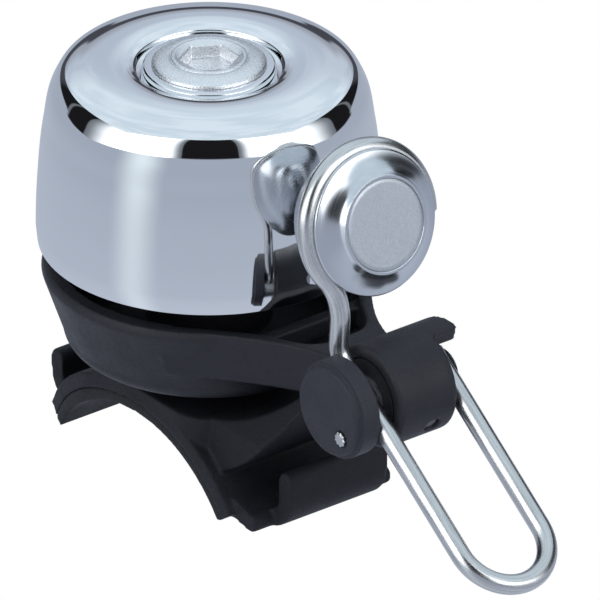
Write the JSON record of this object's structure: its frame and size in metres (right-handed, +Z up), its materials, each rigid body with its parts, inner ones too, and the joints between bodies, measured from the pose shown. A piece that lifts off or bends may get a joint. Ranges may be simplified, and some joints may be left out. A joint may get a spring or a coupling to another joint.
{
  "type": "bicycle bell",
  "caption": "Small round chromed bicycle bell on a black moulded saddle, with a sprung wire thumb lever that carries a domed striker.",
  "frame": {"origin": "on the crown of the handlebar seat, straight under the bell's axis, where the rubber liner touches the bar", "axes": "+Z up along the bell's axis, +Y along the handlebar, +X outward to the thumb lever"},
  "size_m": [0.068, 0.0338, 0.0441],
  "materials": {
    "chrome": "mirror plated",
    "screw_steel": "bright, sand-grained",
    "washer_steel": "polished",
    "black_moulding": "fine-grained matte",
    "black_knob": "fine-grained matte",
    "liner_rubber": "soft matte",
    "gasket_nylon": "natural",
    "wire_steel": "polished, drawn",
    "cap_steel": "polished",
    "brushed_face": "fine brushed",
    "pin_steel": "knurled",
    "zinc_steel": "zinc plated",
    "spring_steel": "oiled"
  },
  "bodies": {
    "root": {"bell_dome": "chrome", "dome_washer": "washer_steel", "dome_screw": "screw_steel", "dome_gasket": "gasket_nylon", "bell_body": "black_moulding", "post_spacer": "zinc_steel", "nut_washer": "zinc_steel", "clamp_nut": "zinc_steel", "saddle_base": "black_moulding", "saddle_pad": "liner_rubber", "spring_anchor_pin": "pin_steel", "axle_bush": "black_moulding", "torsion_spring": "spring_steel"},
    "lever": {"pivot_axle": "zinc_steel", "pivot_knob": "black_knob", "wire_pin": "pin_steel", "wire_lever": "wire_steel", "striker_cap": "cap_steel", "striker_face": "brushed_face", "striker_hammer": "cap_steel", "striker_stud": "pin_steel"}
  },
  "joints": [
    {"name": "lever_pivot", "type": "hinge", "parent": "root", "child": "lever", "pos_m": [0.0294, 0, 0.0123], "axis": [0, 1, 0], "range_deg": [-4.5, 25], "stiffness_Nm_per_rad": 0.06}
  ]
}
